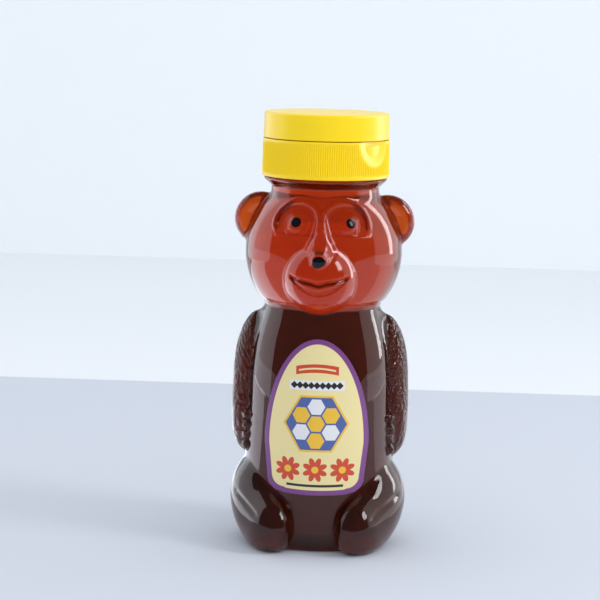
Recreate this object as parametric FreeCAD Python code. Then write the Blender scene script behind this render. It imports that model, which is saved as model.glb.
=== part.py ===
"""Squeeze bottle in the shape of a seated bear, full of honey, with a flip-top screw cap.

The bear faces -Y and stands on z = 0. The Z axis is the axis of the neck and the cap.
All sizes are in millimetres and all angles in degrees.
"""
import FreeCAD
import Part

import math
import os

from FreeCAD import Vector

# Bottle: wall and base
bottle_wall = 0.9
base_groove_radius = 11.0
base_groove_width = 4.0
base_groove_depth = 0.9

# Bottle: neck and mouth
rim_height = 143.0
mouth_radius = 15.9
finish_radius = 17.6
bead_radius = 22.0
bead_top = 132.0
bead_edge = 0.8
bead_taper = 2.4
neck_radius = 19.3
neck_bottom = 114.0
throat_roof = 128.0

# Bear: head
head_height = 105.4
head_radius = 28.05
head_depth_radius = 26.4

# Bear: muzzle, bridge of the nose, nose button and mouth
muzzle_height = 98.5
muzzle_half_width = 13.3
muzzle_half_height = 13.4
muzzle_depth_radius = 14.0
muzzle_reach = 33.2
bridge_height = 106.0
bridge_half_width = 4.2
bridge_half_height = 14.0
bridge_depth_radius = 9.0
bridge_reach = 28.6
nose_height = 105.4
nose_radius = 3.4
nose_reach = 34.2
smile_height = 93.6
smile_radius = 9.8
smile_half_angle = 56.0
smile_groove_width = 1.3
smile_groove_depth = 0.5

# Bear: eyes
eye_spacing = 17.8
eye_height = 117.4
eye_radius = 5.5
eye_proud = 0.8
socket_depth = 1.3
socket_floor = 113.2
pupil_radius = 1.8
right_pupil_turn = 4.0
left_pupil_turn = 16.0

# Bear: ears
ear_side = 22.6
ear_height = 116.4
ear_radius = 9.6
ear_half_thickness = 4.8
ear_dish_side = 24.0
ear_dish_radius = 7.2
ear_dish_depth = 1.8

# Bear: torso, half widths at heights down the side of the trunk
torso_depth_ratio = 0.94
torso_top_height = 91.0
torso_top_radius = 19.2
crease_height = 85.8
crease_radius = 20.6
chest_height = 77.0
chest_radius = 23.3
belly_height = 50.0
belly_radius = 26.3
hip_height = 20.0
hip_radius = 26.6
sole_radius = 24.6
sole_depth = 1.0

# Bear: arms, half widths of the sleeve at heights from shoulder to paw
arm_side = 25.0
arm_forward = 1.0
arm_depth_ratio = 1.05
arm_lean = 3.0
arm_top = 80.6
shoulder_height = 71.5
shoulder_radius = 4.6
forearm_height = 52.0
forearm_radius = 7.0
paw_height = 37.0
paw_radius = 6.1
arm_bottom = 31.4

# Bear: fingers laid on the belly
finger_count = 4
finger_pitch = 3.6
finger_lowest_height = 35.2
finger_side = 25.0
finger_forward = 9.2
finger_radius = 2.6

# Bear: legs, a thigh at the side and a foot in front of it
thigh_side = 19.2
thigh_forward = 2.0
thigh_height = 16.2
thigh_half_width = 12.5
thigh_half_length = 17.5
thigh_half_height = 16.6
foot_side = 16.6
foot_forward = 17.0
foot_height = 9.0
foot_half_width = 9.0
foot_half_length = 14.8
foot_half_height = 12.0
foot_turn = 18.0

# Honey
fill_height = 131.0
honey_film = 0.05

# Front label
label_thickness = 0.15
label_glue = 0.04
label_top = 76.5
label_shoulder_height = 39.5
label_half_width = 18.4
label_corner_height = 25.8
label_corner_half_width = 17.0
label_foot_height = 21.9
label_foot_half_width = 12.8
label_bottom = 21.2
label_foot_slope = 0.1

# Ink printed on the eyes and nose
ink_thickness = 0.12
ink_gap = 0.02
nose_print_half_width = 2.1
nose_print_top = 1.7
nose_print_bottom = 2.3

# Cap base
cap_clearance = 0.3
cap_bottom_radius = 22.75
cap_parting_radius = 22.6
cap_parting_height = 145.6
skirt_wall = 1.3
sleeve_bore = 18.95
sleeve_wall = 1.3
sleeve_length = 10.6
deck_thickness = 1.5
snap_ring_radius = 18.9
snap_ring_wall = 1.2
snap_ring_height = 2.2

# Ribs of the cap's grip
rib_count = 180
rib_depth = 0.3
rib_margin_bottom = 1.2
rib_margin_top = 0.9

# Thumb scoop in the cap under the lid
scoop_half_width = 16.0
scoop_half_height = 11.0
scoop_depth = 1.9
scoop_set_out = 3.0
scoop_wall = 1.0

# Pouring spout
spout_foot_radius = 5.8
spout_tip_radius = 4.7
spout_bore = 3.2
spout_height = 5.6

# Lid
lid_gap = 0.3
lid_height = 9.1
lid_bottom_radius = 22.5
lid_top_radius = 22.2
lid_wall = 1.4
lid_edge_round = 0.8
plug_clearance = 0.1
plug_wall = 0.8
plug_reach = 1.8
plug_taper = 0.45

# Living hinge, a thin web rolled outwards about the parting line
hinge_half_width = 6.5
hinge_flat_depth = 1.0
hinge_flat_height = 3.2
hinge_pad = 1.4
hinge_pad_half_width = 6.0
hinge_pad_overlap = 1.2
web_inner_radius = 0.45
web_thickness = 0.4

# Foam sealing ring between the rim of the mouth and the cap's deck
liner_margin = 0.6

# The cap is screwed home with its thumb scoop this far round from the bear's nose
cap_clock_angle = 53.0

# How far a cutting shape runs past what it cuts, and past the whole object
OVERRUN = 1.0
FAR = 200.0

ORIGIN = Vector(0, 0, 0)
UP = Vector(0, 0, 1)
FORWARD = Vector(0, -1, 0)

# Heights that follow from the sizes above
deck_underside = cap_parting_height - deck_thickness
cap_bottom = bead_top + cap_clearance
lid_bottom = cap_parting_height + lid_gap
lid_top = lid_bottom + lid_height
spout_top = cap_parting_height + spout_height
hinge_height = cap_parting_height + lid_gap / 2
hinge_back = lid_bottom_radius - hinge_flat_depth


def scaled(shape, x, y, z):
    """The shape stretched along each axis."""
    matrix = FreeCAD.Matrix()
    matrix.scale(x, y, z)
    return shape.transformGeometry(matrix)


def ellipsoid(centre, radii):
    """A solid ellipsoid with its axes along X, Y and Z."""
    solid = scaled(Part.makeSphere(1.0), *radii)
    solid.translate(Vector(*centre))
    return solid


def disc(radius, bottom, top):
    """A cylinder about the Z axis between two heights."""
    return Part.makeCylinder(radius, top - bottom, Vector(0, 0, bottom))


def ring(outer_radius, inner_radius, bottom, top):
    """A tube about the Z axis between two heights."""
    return disc(outer_radius, bottom, top).cut(disc(inner_radius, bottom - OVERRUN, top + OVERRUN))


def turned(points):
    """A solid turned about the Z axis from (radius, height) points joined by straight lines."""
    corners = [Vector(radius, 0, height) for radius, height in points]
    outline = Part.makePolygon(corners + corners[:1])
    return Part.Face(outline).revolve(ORIGIN, UP, 360)


def turned_smooth(points, end_slope=None):
    """A solid turned about the Z axis from one smooth side, closed by flat ends.

    With an end slope, the side leaves the axis square to it at the top and meets it so below.
    """
    side = Part.BSplineCurve()
    path = [Vector(radius, 0, height) for radius, height in points]
    if end_slope is None:
        side.interpolate(Points=path)
    else:
        side.interpolate(Points=path, InitialTangent=end_slope, FinalTangent=-end_slope)
    top, bottom = side.StartPoint, side.EndPoint
    corners = [bottom, Vector(0, 0, bottom.z), Vector(0, 0, top.z), top]
    edges = [side.toShape()]
    for start, end in zip(corners, corners[1:]):
        if start.distanceToPoint(end) > 1e-6:
            edges.append(Part.LineSegment(start, end).toShape())
    return Part.Face(Part.Wire(edges)).revolve(ORIGIN, UP, 360)


def block(half_width, front, back, bottom, top):
    """A box centred on the plane x = 0."""
    corner = Vector(-half_width, front, bottom)
    return Part.makeBox(2 * half_width, back - front, top - bottom, corner)


def joined(shapes):
    """One solid made of overlapping shapes."""
    return shapes[0].fuse(shapes[1:])


def on_both_sides(form, inset):
    """A form of the bear's right side and the same form of its left side."""
    return [form(-1, inset), form(1, inset)]


# Forms of the bear. An inset draws every surface in by that much.


def eye_seat(side):
    """The point of the round head under an eye and the direction the eye looks in."""
    x = side * eye_spacing / 2
    z = eye_height - head_height
    y = -head_depth_radius * math.sqrt(1 - (x**2 + z**2) / head_radius**2)
    point = Vector(x, y, eye_height)
    look = Vector(x / head_radius**2, y / head_depth_radius**2, z / head_radius**2)
    return point, look.normalize()


def eye_centre(side):
    point, look = eye_seat(side)
    return point - look * (eye_radius - eye_proud)


def eye_socket(side, inset):
    """What is cut off the round head to leave a flat round an eye, above the cheek."""
    point, look = eye_seat(side)
    cut = Part.makeCylinder(head_radius, head_radius, point - look * (socket_depth + inset), look)
    return cut.cut(block(FAR, -FAR, FAR, -FAR, socket_floor - inset))


def head(inset):
    radius = head_radius - inset
    ball = ellipsoid((0, 0, head_height), (radius, head_depth_radius - inset, radius))
    return ball.cut(on_both_sides(eye_socket, inset))


def muzzle(inset):
    centre = (0, muzzle_depth_radius - muzzle_reach, muzzle_height)
    radii = (muzzle_half_width - inset, muzzle_depth_radius - inset, muzzle_half_height - inset)
    return ellipsoid(centre, radii)


def bridge(inset):
    centre = (0, bridge_depth_radius - bridge_reach, bridge_height)
    radii = (bridge_half_width - inset, bridge_depth_radius - inset, bridge_half_height - inset)
    return ellipsoid(centre, radii)


def ear(side, inset):
    radius = ear_radius - inset
    lobe = ellipsoid(
        (side * ear_side, 0, ear_height), (radius, ear_half_thickness - inset, radius)
    )
    dish_radius = ear_dish_radius + inset
    dish = ellipsoid(
        (side * ear_dish_side, -ear_half_thickness, ear_height),
        (dish_radius, ear_dish_depth + inset, dish_radius),
    )
    return lobe.cut(dish)


def torso(inset):
    """The trunk, which runs a little below the floor so that the floor cuts it flat."""
    side = [
        (torso_top_radius, torso_top_height - inset),
        (crease_radius, crease_height),
        (chest_radius, chest_height),
        (belly_radius, belly_height),
        (hip_radius, hip_height),
        (sole_radius, -sole_depth),
    ]
    trunk = turned_smooth([(radius - inset, height) for radius, height in side])
    return scaled(trunk, 1, torso_depth_ratio, 1)


def arm(side, inset):
    sleeve = turned_smooth(
        [
            (0, arm_top - inset),
            (shoulder_radius - inset, shoulder_height),
            (forearm_radius - inset, forearm_height),
            (paw_radius - inset, paw_height),
            (0, arm_bottom + inset),
        ],
        end_slope=Vector(1, 0, 0),
    )
    sleeve = scaled(sleeve, 1, arm_depth_ratio, 1)
    sleeve.rotate(Vector(0, 0, forearm_height), Vector(1, 0, 0), arm_lean)
    sleeve.translate(Vector(side * arm_side, -arm_forward, 0))
    return sleeve


def thigh(side, inset):
    centre = (side * thigh_side, -thigh_forward, thigh_height)
    radii = (thigh_half_width - inset, thigh_half_length - inset, thigh_half_height - inset)
    return ellipsoid(centre, radii)


def foot(side, inset):
    centre = (side * foot_side, -foot_forward, foot_height)
    radii = (foot_half_width - inset, foot_half_length - inset, foot_half_height - inset)
    sole = ellipsoid(centre, radii)
    sole.rotate(Vector(*centre), UP, -side * foot_turn)
    return sole


def fingers(side):
    """Small round pads in a column at the inner front edge of a paw."""
    pads = []
    for number in range(finger_count):
        height = finger_lowest_height + number * finger_pitch
        pads.append(Part.makeSphere(finger_radius, Vector(side * finger_side, -finger_forward, height)))
    return pads


def base_groove(inset):
    """The round groove that stiffens the base, as the ring that presses it in."""
    half = base_groove_width / 2
    radius = (half**2 + base_groove_depth**2) / (2 * base_groove_depth)
    return Part.makeTorus(base_groove_radius, radius + inset, Vector(0, 0, base_groove_depth - radius))


def bear(inset):
    """The bear from the floor to the shoulder of the neck."""
    forms = [torso(inset), head(inset), muzzle(inset), bridge(inset)]
    for limb in (ear, arm, thigh, foot):
        forms += on_both_sides(limb, inset)
    body = joined(forms)
    body = body.cut(block(FAR, -FAR, FAR, -FAR, inset))
    return body.cut(base_groove(inset))


def nose_centre():
    return Vector(0, nose_radius - nose_reach, nose_height)


def smile():
    """The groove of the mouth, of one depth all along the muzzle."""
    skin = muzzle(-OVERRUN).cut(muzzle(smile_groove_depth))
    centre = Vector(0, muzzle_depth_radius - muzzle_reach, smile_height + smile_radius)
    half_width = smile_groove_width / 2
    start, end = 270 - smile_half_angle, 270 + smile_half_angle
    band = Part.makeCylinder(smile_radius + half_width, FAR, centre, FORWARD)
    band = band.cut(Part.makeCylinder(smile_radius - half_width, FAR, centre, FORWARD))
    reach = 2 * smile_radius
    fan = [centre]
    for angle in (start, 270, end):
        turn = math.radians(angle)
        fan.append(centre + Vector(reach * math.cos(turn), 0, reach * math.sin(turn)))
    sector = Part.Face(Part.makePolygon(fan + fan[:1])).extrude(FORWARD * FAR)
    return skin.common(band.common(sector))


# The bottle and what is inside and on it


def neck_outside():
    bead_bottom = bead_top - bead_edge
    return turned(
        [
            (0, neck_bottom),
            (neck_radius, neck_bottom),
            (neck_radius, bead_bottom - bead_taper),
            (bead_radius, bead_bottom),
            (bead_radius, bead_top),
            (finish_radius, bead_top),
            (finish_radius, rim_height),
            (0, rim_height),
        ]
    )


def cavity(inset):
    """The room inside the bear, closed under the rim of the mouth."""
    throat = disc(neck_radius - inset, neck_bottom, throat_roof + bottle_wall - inset)
    return bear(inset).fuse(throat)


def bottle():
    details = [neck_outside(), Part.makeSphere(nose_radius, nose_centre())]
    for side in (-1, 1):
        details += fingers(side)
        details.append(Part.makeSphere(eye_radius, eye_centre(side)))
    outside = bear(0).fuse(details).cut(smile())
    room = cavity(bottle_wall)
    shells = [outside.Shells[0], room.Shells[0].reversed()]
    walls = Part.makeSolid(Part.makeCompound(shells))
    return walls.cut(disc(mouth_radius, throat_roof - OVERRUN, rim_height + OVERRUN))


def honey_fill():
    """The honey in the bear, its throat and the foot of its mouth."""
    in_mouth = disc(mouth_radius - honey_film, neck_bottom, fill_height)
    return cavity(bottle_wall + honey_film).fuse(in_mouth)


def label_corner(side):
    """The edge of the label from its widest point round the lower corner."""
    edge = Part.BSplineCurve()
    edge.interpolate(
        Points=[
            Vector(side * label_half_width, 0, label_shoulder_height),
            Vector(side * label_corner_half_width, 0, label_corner_height),
            Vector(side * label_foot_half_width, 0, label_foot_height),
        ],
        InitialTangent=Vector(0, 0, -1),
        FinalTangent=Vector(-side, 0, -label_foot_slope),
    )
    return edge.toShape()


def front_label():
    arch = Part.Ellipse(
        Vector(0, 0, label_top),
        Vector(label_half_width, 0, label_shoulder_height),
        Vector(0, 0, label_shoulder_height),
    )
    foot_edge = Part.Arc(
        Vector(label_foot_half_width, 0, label_foot_height),
        Vector(0, 0, label_bottom),
        Vector(-label_foot_half_width, 0, label_foot_height),
    )
    edges = [arch.toShape(-math.pi / 2, math.pi / 2), foot_edge.toShape()]
    edges += [label_corner(-1), label_corner(1)]
    outline = Part.Wire(Part.sortEdges(edges)[0])
    window = Part.Face(outline).extrude(FORWARD * FAR)
    skin = torso(-label_glue).Shells[0].common(window)
    return skin.Faces[0].extrude(FORWARD * label_thickness)


def ink(radius, centre, outline):
    """A thin skin of ink on a ball, within a solid outline."""
    skin = Part.makeSphere(radius + ink_gap + ink_thickness, centre)
    skin = skin.cut(Part.makeSphere(radius + ink_gap, centre))
    return skin.common(outline)


def eye_print(side, turn):
    """A pupil that sits off the middle of its eye, turned towards +X."""
    centre = eye_centre(side)
    look = FreeCAD.Rotation(UP, turn).multVec(eye_seat(side)[1])
    return ink(eye_radius, centre, Part.makeCylinder(pupil_radius, FAR, centre, look))


def nose_print():
    """A rounded shield, wide at the top and narrow at the bottom."""
    centre = nose_centre()
    outline = Part.BSplineCurve()
    outline.interpolate(
        Points=[
            centre + Vector(0, 0, -nose_print_bottom),
            centre + Vector(nose_print_half_width, 0, nose_print_top / 3),
            centre + Vector(0, 0, nose_print_top),
            centre + Vector(-nose_print_half_width, 0, nose_print_top / 3),
        ],
        PeriodicFlag=True,
    )
    shield = Part.Face(Part.Wire(outline.toShape())).extrude(FORWARD * FAR)
    return ink(nose_radius, centre, shield)


# The cap. It is drawn with its thumb scoop towards -Y and its hinge towards +Y.


def cap_liner():
    return ring(finish_radius + liner_margin, mouth_radius, rim_height, deck_underside)


def rib_notches():
    """The notches between the ribs round the skirt, as one ring."""
    bottom = cap_bottom + rib_margin_bottom
    top = cap_parting_height - rib_margin_top
    corners = []
    for number in range(rib_count):
        for radius, step in ((cap_parting_radius, 0), (cap_parting_radius - rib_depth, 0.5)):
            angle = 2 * math.pi * (number + step) / rib_count
            corners.append(Vector(radius * math.cos(angle), radius * math.sin(angle), bottom))
    outline = Part.makePolygon(corners + corners[:1])
    ribs = Part.Face(outline).extrude(UP * (top - bottom))
    return disc(cap_bottom_radius + OVERRUN, bottom, top).cut(ribs)


def scoop(growth):
    """The ball that hollows the skirt for a thumb."""
    centre = (0, -(cap_parting_radius + scoop_set_out), cap_parting_height)
    radii = (scoop_half_width, scoop_set_out + scoop_depth, scoop_half_height)
    return ellipsoid(centre, [radius + growth for radius in radii])


def hinge_seat(bottom, top):
    """The block behind one leaf of the hinge."""
    return block(hinge_pad_half_width, hinge_back - hinge_pad, hinge_back, bottom, top)


def hinge_flat(bottom, top):
    """The room cut for the hinge in the round of the cap."""
    return block(lid_bottom_radius / 2, hinge_back, FAR, bottom, top)


def spout():
    return turned(
        [
            (0, deck_underside),
            (spout_foot_radius, deck_underside),
            (spout_foot_radius, cap_parting_height),
            (spout_tip_radius, spout_top),
            (0, spout_top),
        ]
    )


def cap_base():
    sleeve_bottom = deck_underside - sleeve_length
    skirt = turned(
        [
            (0, cap_parting_height),
            (cap_parting_radius, cap_parting_height),
            (cap_bottom_radius, cap_bottom),
            (cap_bottom_radius - skirt_wall, cap_bottom),
            (cap_parting_radius - skirt_wall, deck_underside),
            (sleeve_bore + sleeve_wall, deck_underside),
            (sleeve_bore + sleeve_wall, sleeve_bottom),
            (sleeve_bore, sleeve_bottom),
            (sleeve_bore, deck_underside),
            (0, deck_underside),
        ]
    )
    skirt = skirt.cut(rib_notches())
    flat_bottom = cap_parting_height - hinge_flat_height
    thumb_room = disc(cap_parting_radius - rib_depth, cap_bottom, cap_parting_height)
    thumb_room = thumb_room.cut(disc(sleeve_bore, 0, deck_underside))
    snap_top = cap_parting_height + snap_ring_height
    snap_ring = ring(snap_ring_radius, snap_ring_radius - snap_ring_wall, cap_parting_height, snap_top)
    base = skirt.fuse(
        [
            scoop(scoop_wall).common(thumb_room),
            hinge_seat(flat_bottom - hinge_pad_overlap, deck_underside),
            snap_ring,
            spout(),
        ]
    )
    base = base.cut(scoop(0))
    base = base.cut(hinge_flat(flat_bottom, FAR))
    return base.cut(disc(spout_bore, 0, FAR))


def flip_lid():
    ceiling = lid_top - lid_wall
    cup = turned(
        [
            (0, lid_top),
            (lid_top_radius, lid_top),
            (lid_bottom_radius, lid_bottom),
            (lid_bottom_radius - lid_wall, lid_bottom),
            (lid_top_radius - lid_wall, ceiling),
            (0, ceiling),
        ]
    )
    rim = [edge for edge in cup.Edges if edge.BoundBox.ZMin > ceiling + lid_wall / 2]
    cup = cup.makeFillet(lid_edge_round, rim)
    plug_radius = spout_bore - plug_clearance
    plug_tip = spout_top - plug_reach
    plug = turned(
        [
            (plug_radius, ceiling),
            (plug_radius, spout_top),
            (plug_radius - plug_taper, plug_tip),
            (plug_radius - plug_taper - plug_wall, plug_tip),
            (plug_radius - plug_taper - plug_wall, ceiling),
        ]
    )
    flat_top = lid_bottom + hinge_flat_height
    cup = cup.fuse([plug, hinge_seat(lid_bottom, flat_top + hinge_pad_overlap)])
    return cup.cut(hinge_flat(0, flat_top))


def living_hinge():
    start = Vector(-hinge_half_width, hinge_back, hinge_height)
    along = Vector(1, 0, 0)
    length = 2 * hinge_half_width
    roll = Part.makeCylinder(web_inner_radius + web_thickness, length, start, along)
    roll = roll.cut(Part.makeCylinder(web_inner_radius, length, start, along))
    return roll.common(block(FAR, hinge_back, FAR, 0, FAR))


def clocked(shape):
    """A piece of the cap turned to where it stops when the cap is screwed home."""
    shape.rotate(ORIGIN, UP, cap_clock_angle)
    return shape


def main():
    pieces = {
        "bottle": bottle(),
        "honey_fill": honey_fill(),
        "front_label": front_label(),
        "right_eye_print": eye_print(-1, right_pupil_turn),
        "left_eye_print": eye_print(1, left_pupil_turn),
        "nose_print": nose_print(),
        "cap_liner": cap_liner(),
        "cap_base": clocked(cap_base()),
        "living_hinge": clocked(living_hinge()),
        "flip_lid": clocked(flip_lid()),
    }
    os.makedirs("parts", exist_ok=True)
    for name, shape in pieces.items():
        shape.Solids[0].exportStep(f"parts/{name}.step")


if __name__ == "__main__":
    main()
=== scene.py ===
"""The honey bear bottle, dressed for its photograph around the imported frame.

The bear's clear wall and its honey are drawn as fields of distance in millimetres, which are
meshed and scaled to metres. The cap and the label are drawn as meshes.
"""

import math

import bpy
import numpy as np
from mathutils import Matrix, Vector
from mathutils.geometry import delaunay_2d_cdt


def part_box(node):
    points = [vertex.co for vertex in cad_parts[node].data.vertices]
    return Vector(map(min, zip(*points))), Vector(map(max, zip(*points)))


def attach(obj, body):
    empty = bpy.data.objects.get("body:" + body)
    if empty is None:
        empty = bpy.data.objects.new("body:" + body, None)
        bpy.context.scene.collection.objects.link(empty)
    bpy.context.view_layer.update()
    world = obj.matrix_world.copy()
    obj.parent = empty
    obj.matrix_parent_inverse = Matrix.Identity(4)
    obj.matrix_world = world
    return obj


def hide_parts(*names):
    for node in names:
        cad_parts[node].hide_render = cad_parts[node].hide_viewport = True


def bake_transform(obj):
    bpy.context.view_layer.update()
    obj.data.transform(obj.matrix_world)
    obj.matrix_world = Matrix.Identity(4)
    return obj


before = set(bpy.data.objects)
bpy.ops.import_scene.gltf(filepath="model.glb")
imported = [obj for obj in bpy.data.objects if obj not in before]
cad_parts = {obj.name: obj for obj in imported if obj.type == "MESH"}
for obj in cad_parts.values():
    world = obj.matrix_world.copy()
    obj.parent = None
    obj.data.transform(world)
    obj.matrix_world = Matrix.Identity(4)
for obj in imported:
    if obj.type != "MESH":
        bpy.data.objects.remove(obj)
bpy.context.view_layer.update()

MM = 0.001
CURVE_SAMPLES = 1000
GRAIN_DETAIL = 2
GRAIN_STRENGTH = 0.9


def cad_height(node, end):
    """The height in millimetres of a CAD node's bottom (end 0) or top (end 1)."""
    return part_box(node)[end][2] / MM


# Sizes of the bottle, each form of the bear as its centre and its three radii

WALL = 0.9
HEAD = ((0, 0, 105.4), (28.05, 26.4, 28.05))
MUZZLE = ((0, -19.2, 98.5), (13.3, 14.0, 13.4))
BRIDGE = ((0, -19.6, 106.0), (4.2, 9.0, 14.0))
NOSE = ((0, -30.8, 105.4), (3.4, 3.4, 3.4))
NOSE_PAD = ((0, -23.6, 107.0), (5.8, 8.2, 6.2))
EAR = ((22.6, 0, 116.4), (9.6, 4.8, 9.6))
EAR_DISH = ((24.0, -4.8, 116.4), (7.2, 1.8, 7.2))
UPPER_ARM = ((25.5, 0.2, 60.0), (6.6, 6.2, 22.4))
UPPER_ARM_LEAN = 4.5
FOREARM = ((25.6, -0.4, 45.0), (6.6, 6.5, 13.8))
ARM_REACH = 32.0
ARM_FILLET = 0.8
SHOULDER_FILLET = 4.0
SHOULDER_HEIGHTS = (66.0, 80.0)
FUR_STROKE = (1.9, 3.2)
FUR_DEPTH = 0.14
FUR_END = (44.0, 52.0)
FUR_SWAY = (1.2, 1.7)
FUR_BREAK = (1.5, 1.1)
FUR_REACH = (0.8, 0.2)
FINGER = ((25.4, -7.5, 35.2), (2.2, 2.0, 1.95))
FINGER_COUNT = 4
FINGER_PITCH = 3.6
THIGH = ((19.2, -2.0, 16.2), (12.5, 17.5, 16.6))
FOOT = ((16.6, -17.0, 9.0), (9.0, 14.8, 12.0))
FOOT_TURN = 18.0
TORSO_DEPTH = 0.94
TORSO_HEIGHTS = (0, 20, 50, 77, 85.8, 91)
TORSO_RADII = (24.6, 26.6, 26.3, 23.3, 20.6, 19.2)
TORSO_SLOPE = 0.95
BASE_EDGE = 2.4
BASE_GROOVE = (11.0, 2.7, -1.8)

EYE_X = 8.9
EYE_Z = 117.4
EYE_RADIUS = 5.5
EYE_PROUD = 0.8
SOCKET_DEPTH = 1.3
SOCKET_FLOOR = 113.2
BROW_RADIUS = 8.3
BROW_SIZE = 1.1
EYE_RIM = 4.3
EYE_RIM_SIZE = 0.6
UPPER_LIP = (97.7, 0.0145)
LOWER_LIP = (93.6, 0.058)
MOUTH_HALF = 9.9
MOUTH_END = (0.8, -0.7)
LIP_END = (-1.0, -5.0)
DIMPLE = (16.0, -21.0, 100.5)
BROW_FADE = 3.0
KNEE_CREASE = ((28.7, 19.0), (21.0, 14.0))
CHIN_GROOVE = (87.7, 0.4, 0.6)

# Lines, hollows and swellings of the skin, each as its depth or height and its half width

UPPER_LINE = (0.95, 0.55)
LOWER_LINE = (0.6, 0.65)
LIP_SWELL = (0.35, 1.1)
CUPID_BOW = (0.7, 1.6)
DIMPLE_SIZE = (0.5, 2.2)
KNEE_CREASE_SIZE = (0.5, 0.9)

# Fillets and rounded edges where the forms of the bear meet

TORSO_EDGE = 1.0
SOCKET_EDGE = 0.3
SOCKET_FILLET = 0.4
BROW_FILLET = 0.6
NOSE_FILLET = 0.9
BRIDGE_FILLET = 3.0
FACE_FILLET = 0.9
MUZZLE_FILLET = 0.6
EYE_FILLET = 0.2
EAR_EDGE = 0.5
EAR_FILLET = 0.8
ELBOW_FILLET = 4.0
ARM_EDGE = 2.0
FINGER_FILLET = 0.3
KNEE_FILLET = 7.0
HIP_FILLET = 1.2
CHIN_FILLET = 0.7
GROOVE_EDGE = 0.6
BEAD_ROUND = 0.4
RIM_EDGE = 0.5
NECK_FILLET = 1.2
THROAT_FILLET = 1.0

# Sizes of the neck and the honey

NECK_RADIUS = 19.3
NECK_BOTTOM = 112.0
BEAD_RADIUS = 22.0
BEAD_FOOT = 128.8
BEAD_TOP = 132.0
BEAD_EDGE = 0.8
FINISH_RADIUS = 17.6
THREAD_PITCH = 4.235
THREAD_HEIGHTS = (134.0, 141.2)
THREAD_RADII = (17.5, 18.5)
THREAD_SECTION = ((0.0, 0.9), (0.8, 0.4), (1.0, 0.2), (1.0, -0.2), (0.8, -0.4), (0.0, -0.9))
THREAD_TAPER = 0.08
THREAD_TIP = 0.05
THREAD_STATIONS = 200
MOUTH_RADIUS = 15.9
THROAT_ROOF = 128.0
RIM_HEIGHT = cad_height("bottle", 1)
FILL_HEIGHT = cad_height("honey_fill", 1)
# WAIST is the height where the head's painted lit honey meets the body's painted shaded honey.
WAIST = 86.0
HONEY_LAP = 0.1
HONEY_WALL = WALL * 2 / 3
BOTTLE_SPACE = ((0, -36, -1), (34.5, 29, 144.5))
BOTTLE_STEP = 0.45
HONEY_STEP = 0.7

# Sizes of the label

LABEL_TOP = cad_height("front_label", 1)
LABEL_BOTTOM = cad_height("front_label", 0)
LABEL_SHOULDER = 39.5
LABEL_HALF = 18.4
LABEL_CORNER = 5.0
LABEL_BORDER = 1.75
LABEL_FILM = 0.12
LABEL_GLUE = 0.05
LABEL_DRAW = 1.3
LABEL_SAG = 0.7
LABEL_FOOT_GAP = 1
LABEL_STEP = 1.2

# The label's design: heights, bars as width, height and droop, rows and rings as count, pitch and size

TITLE_HEIGHT = 66.4
TITLE_BAR = (15, 3.0, 0.9)
TITLE_GAP = (13, 0.6, 0.8)
STRIP_HEIGHT = 60.4
STRIP_DIAMONDS = (9, 2.0, 1.3)
STRIP_TALL = 2.6
COMB_HEIGHT = 46.8
COMB_SIZE = 11.6
COMB_FRAME = 0.93
CELL_SIZE = 0.27
CELL_REACH = 0.52
FLOWER_HEIGHT = 30.4
FLOWER_PITCH = 9.6
FLOWER_PETALS = (8, 2.7, 1.8)
PETAL_SQUEEZE = 0.55
FLOWER_MIDDLE = 0.7
FOOT_LINE_HEIGHT = 24.6
FOOT_LINE = (20, 0.9, -0.2)

# How many points the label's curves have

ARCH_POINTS = 90
CORNER_POINTS = 16
FOOT_POINTS = 16
BAR_POINTS = 24
PETAL_POINTS = 16
MIDDLE_POINTS = 20

# Sizes of the cap, drawn with its thumb scoop towards -Y and then turned to where it stops

CAP_BOTTOM = cad_height("cap_base", 0)
SPOUT_TOP = cad_height("cap_base", 1)
LID_BOTTOM = cad_height("flip_lid", 0)
LID_TOP = cad_height("flip_lid", 1)
PARTING = 145.6
DECK_UNDERSIDE = cad_height("cap_liner", 1)
CAP_RADIUS = (22.75, 22.6)
LID_RADIUS = (22.5, 22.2)
SKIRT_WALL = 1.3
LID_WALL = 1.4
SLEEVE = (18.95, 20.25, 133.5)
SNAP_RING = (17.7, 18.9, 2.2)
SPOUT = (5.8, 4.7, 3.2)
PLUG = (1.85, 2.65, 3.1, 149.4)
RIB_COUNT = 180
RIB_DEPTH = 0.3
RIB_MARGINS = (1.2, 0.9)
SCOOP = (16.0, 4.9, 11.0)
SCOOP_OUT = 3.0
CAP_TURN = math.radians(53)
HINGE_BACK = 21.5
HINGE_FLAT = 3.2
HINGE_HALF = 6.5
HINGE_WEB = (0.45, 0.85)
HINGE_HEIGHT = (PARTING + LID_BOTTOM) / 2
HINGE_POINTS = (25, 14)
CAP_COLUMNS = 6 * RIB_COUNT
LID_COLUMNS = 2 * RIB_COUNT
CAP_STEP = 0.45
RIB_END = 0.15
SCOOP_FILLET = 0.4
HINGE_SIDE = 0.5
AXIS_RADIUS = 0.01
CORNER_STEPS = 4

# How far each corner of the cap's and the lid's outline is rounded, by the corner's number

CAP_ROUNDING = {0: 0.35, 1: 0.35, 3: 0.4, 4: 0.4, 6: 0.6, 7: 0.5, 8: 0.4}
LID_ROUNDING = {0: 0.3, 1: 0.9, 5: 0.3, 6: 0.3, 9: 0.8, 10: 0.3}

# Lamps in metres: a panel as its place and size, a lamp as its place, aim, size and brightness

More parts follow.
